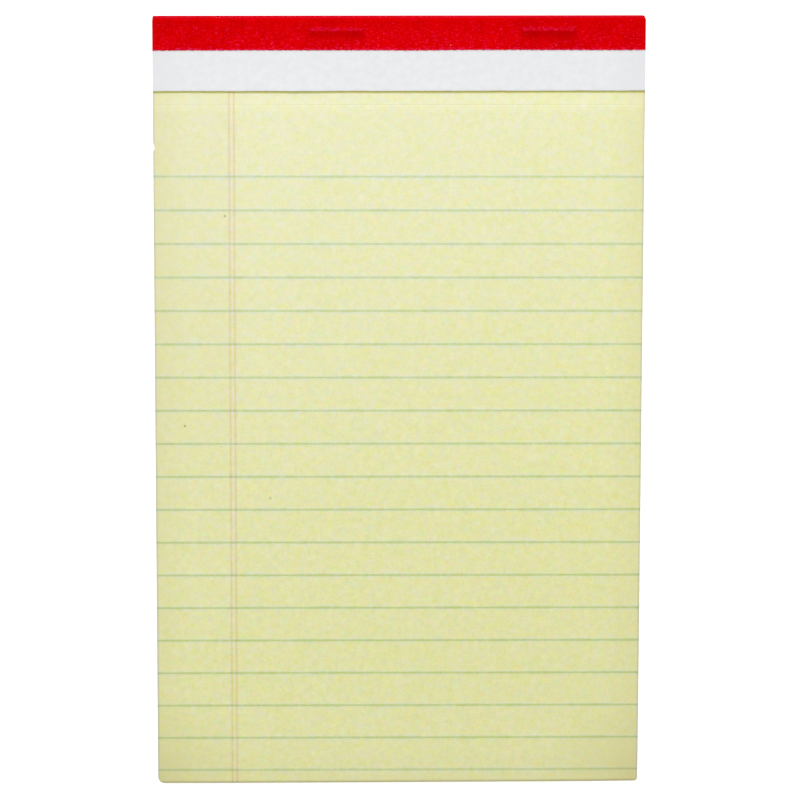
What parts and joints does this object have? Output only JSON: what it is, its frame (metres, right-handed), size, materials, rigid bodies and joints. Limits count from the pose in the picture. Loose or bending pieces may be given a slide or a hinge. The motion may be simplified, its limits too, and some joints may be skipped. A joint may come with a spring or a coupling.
{
  "type": "legal pad",
  "caption": "Stitched writing pad of yellow ruled sheets on a chipboard back, with a white header strip and a red tape folded over its head.",
  "frame": {"origin": "middle of the back, on the surface that the pad lies on", "axes": "+X across the page to the right, +Y up the page to the bound head, +Z out of the writing face"},
  "size_m": [0.127, 0.2032, 0.0061],
  "materials": {
    "yellow_paper": "uncoated canary yellow writing paper",
    "white_paper": "smooth white paper",
    "red_tape": "red binding tape with a fine cloth texture",
    "grey_chipboard": "uncoated grey chipboard with paper flecks",
    "stitching_wire": "galvanised wire",
    "rule_ink": "pale blue-green ink soaked into the paper",
    "margin_ink": "pale red ink soaked into the paper"
  },
  "bodies": {
    "root": {"backing_board": "grey_chipboard", "sheet_block": "yellow_paper", "header_strip": "white_paper", "binding_tape": "red_tape", "wire_stitches": "stitching_wire", "rule_lines": "rule_ink", "margin_lines": "margin_ink"}
  },
  "joints": []
}
